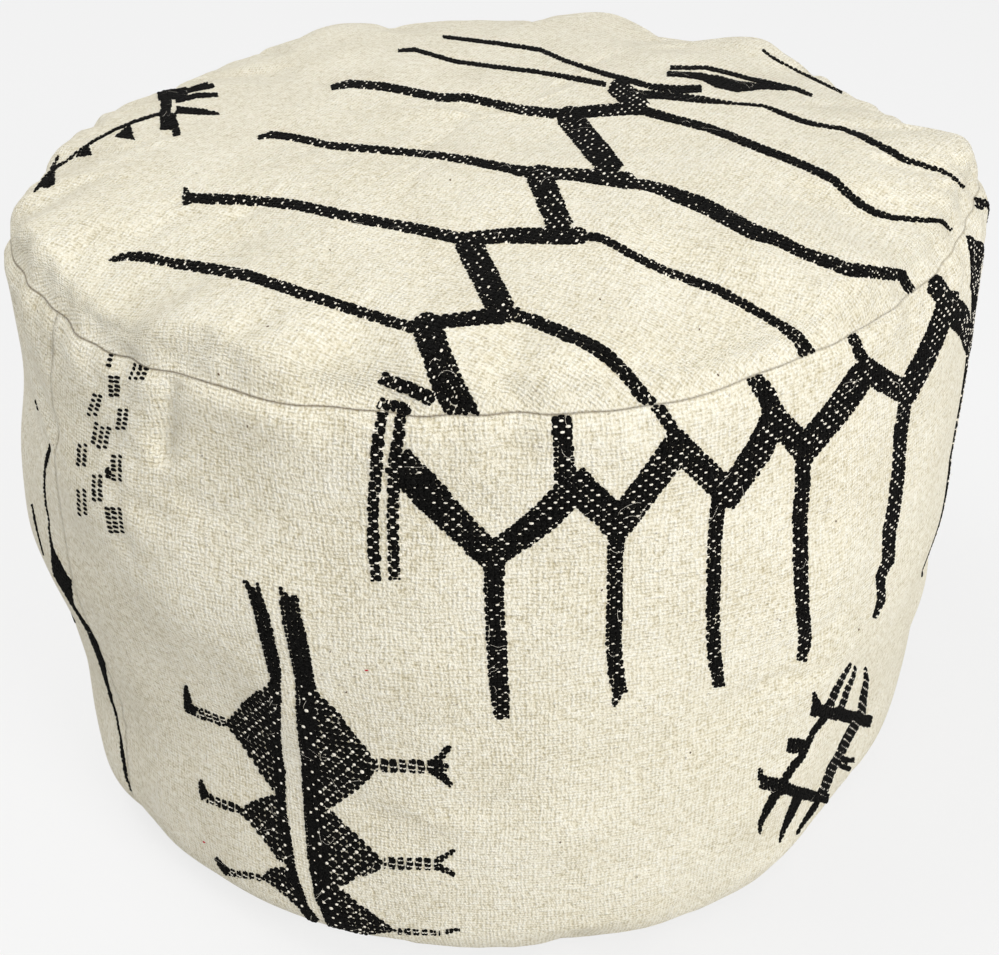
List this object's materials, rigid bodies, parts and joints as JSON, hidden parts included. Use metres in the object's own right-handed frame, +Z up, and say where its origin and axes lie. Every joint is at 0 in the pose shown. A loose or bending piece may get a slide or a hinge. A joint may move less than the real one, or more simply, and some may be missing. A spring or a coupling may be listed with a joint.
{
  "type": "pouf",
  "caption": "Round stuffed floor pouf with a sewn woven wool cover, crowned top, barrel side band and a zip under the base.",
  "frame": {"origin": "middle of the base, on the floor", "axes": "+Z up, -Y towards the front that carries the column of lozenges, +X along the zip towards its closed end"},
  "size_m": [0.5282, 0.5284, 0.374],
  "materials": {
    "cover_wool": "hand-woven undyed wool",
    "motif_wool": "black dyed wool weft",
    "thread": "spun sewing thread",
    "zip_tape": "woven tape",
    "zip_teeth": "moulded",
    "zip_metal": "nickel plated, tumbled",
    "calico": "plain unbleached cotton",
    "stuffing": "loose fibre"
  },
  "bodies": {
    "pouf": {"top_panel": "cover_wool", "front_side_panel": "cover_wool", "back_side_panel": "cover_wool", "front_base_panel": "cover_wool", "back_base_panel": "cover_wool", "top_seam_thread": "thread", "base_seam_thread": "thread", "side_seam_threads": "thread", "base_centre_threads": "thread", "zip_tape_front": "zip_tape", "zip_tape_back": "zip_tape", "zip_threads": "thread", "zip_teeth_front": "zip_teeth", "zip_teeth_back": "zip_teeth", "zip_top_stops": "zip_metal", "zip_bottom_stop": "zip_metal", "liner_top": "calico", "liner_side": "calico", "liner_base": "calico", "stuffing": "stuffing"},
    "slider": {"zip_slider": "zip_metal"},
    "pull": {"zip_pull": "zip_metal"}
  },
  "joints": [
    {"name": "zip_slide", "type": "slide", "parent": "pouf", "child": "slider", "axis": [-1, 0, 0], "range_m": [0, 0.28885], "deforming": ["zip_teeth_front", "zip_teeth_back"]},
    {"name": "pull_swing", "type": "hinge", "parent": "slider", "child": "pull", "pos_m": [0.1445, 0, 0.00215], "axis": [0, -1, 0], "range_deg": [-3, 150]}
  ]
}
